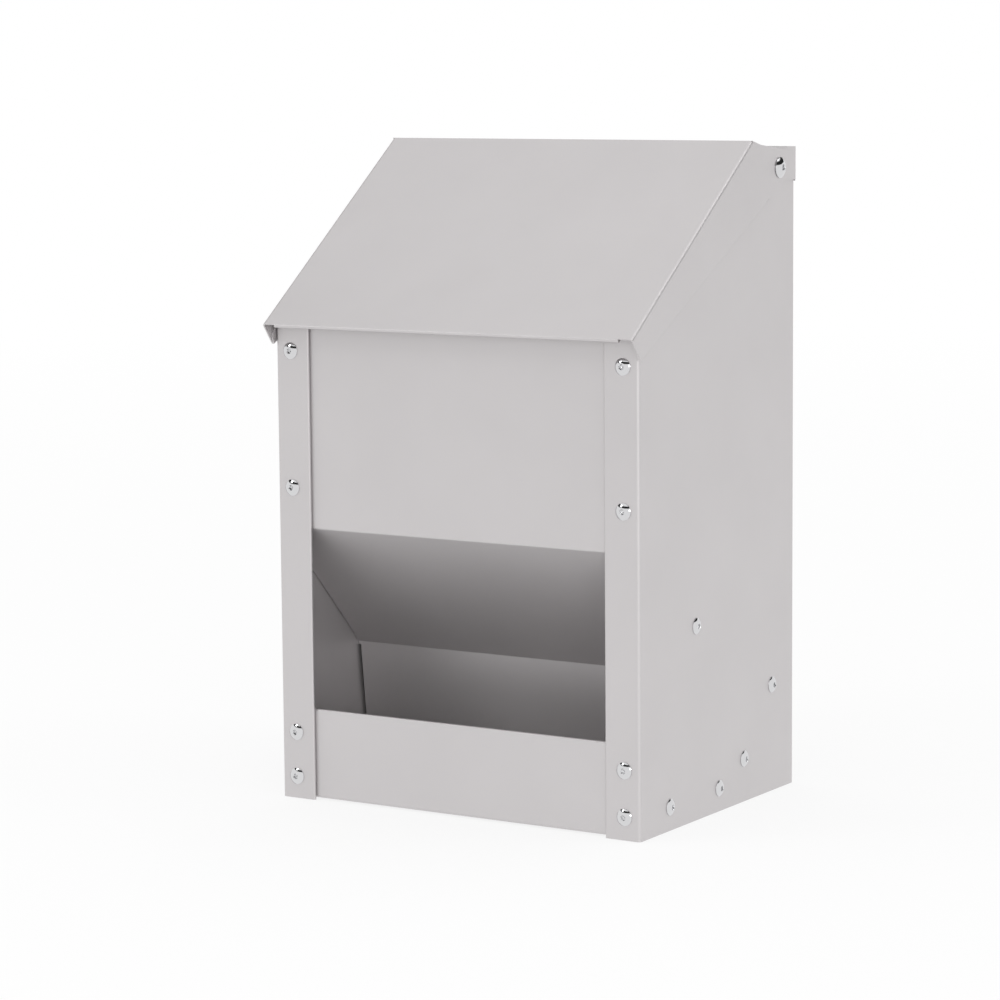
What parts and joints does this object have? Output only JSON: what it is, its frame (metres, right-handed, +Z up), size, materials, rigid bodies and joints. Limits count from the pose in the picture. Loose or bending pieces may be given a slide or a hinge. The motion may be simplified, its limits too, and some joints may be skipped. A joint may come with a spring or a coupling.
{
  "type": "poultry feeder",
  "caption": "Gravity poultry feeder in folded sheet steel: hopper with a pitched hinged lid, sloped front, and an open trough with a hemmed lip",
  "frame": {"origin": "on the ground under the middle of the whole feeder, lid overhang and rear screw heads included", "axes": "+X across the feeder, +Y from the front to the back, +Z up"},
  "size_m": [0.3008, 0.2364, 0.4583],
  "materials": {
    "sheet_steel": "satin, smooth galvanised sheet",
    "plated_fasteners": "bright plated"
  },
  "bodies": {
    "housing": {"right_side_panel": "sheet_steel", "left_side_panel": "sheet_steel", "hopper_front_panel": "sheet_steel", "feed_trough": "sheet_steel", "back_panel": "sheet_steel", "hopper_front_screws": "plated_fasteners", "hopper_front_nuts": "plated_fasteners", "trough_front_screws": "plated_fasteners", "trough_front_nuts": "plated_fasteners", "hopper_side_screws": "plated_fasteners", "hopper_side_nuts": "plated_fasteners", "trough_floor_screws": "plated_fasteners", "trough_floor_nuts": "plated_fasteners", "trough_ramp_screws": "plated_fasteners", "trough_ramp_nuts": "plated_fasteners", "back_panel_screws": "plated_fasteners", "back_panel_nuts": "plated_fasteners", "trough_back_screws": "plated_fasteners", "trough_back_nuts": "plated_fasteners", "hinge_screws": "plated_fasteners", "hinge_washers": "plated_fasteners", "hinge_lock_nuts": "plated_fasteners"},
    "lid": {"lid": "sheet_steel"}
  },
  "joints": [
    {"name": "lid_hinge", "type": "hinge", "parent": "housing", "child": "lid", "pos_m": [0, 0.08803, 0.43866], "axis": [-1, 0, 0], "range_deg": [0, 95]}
  ]
}
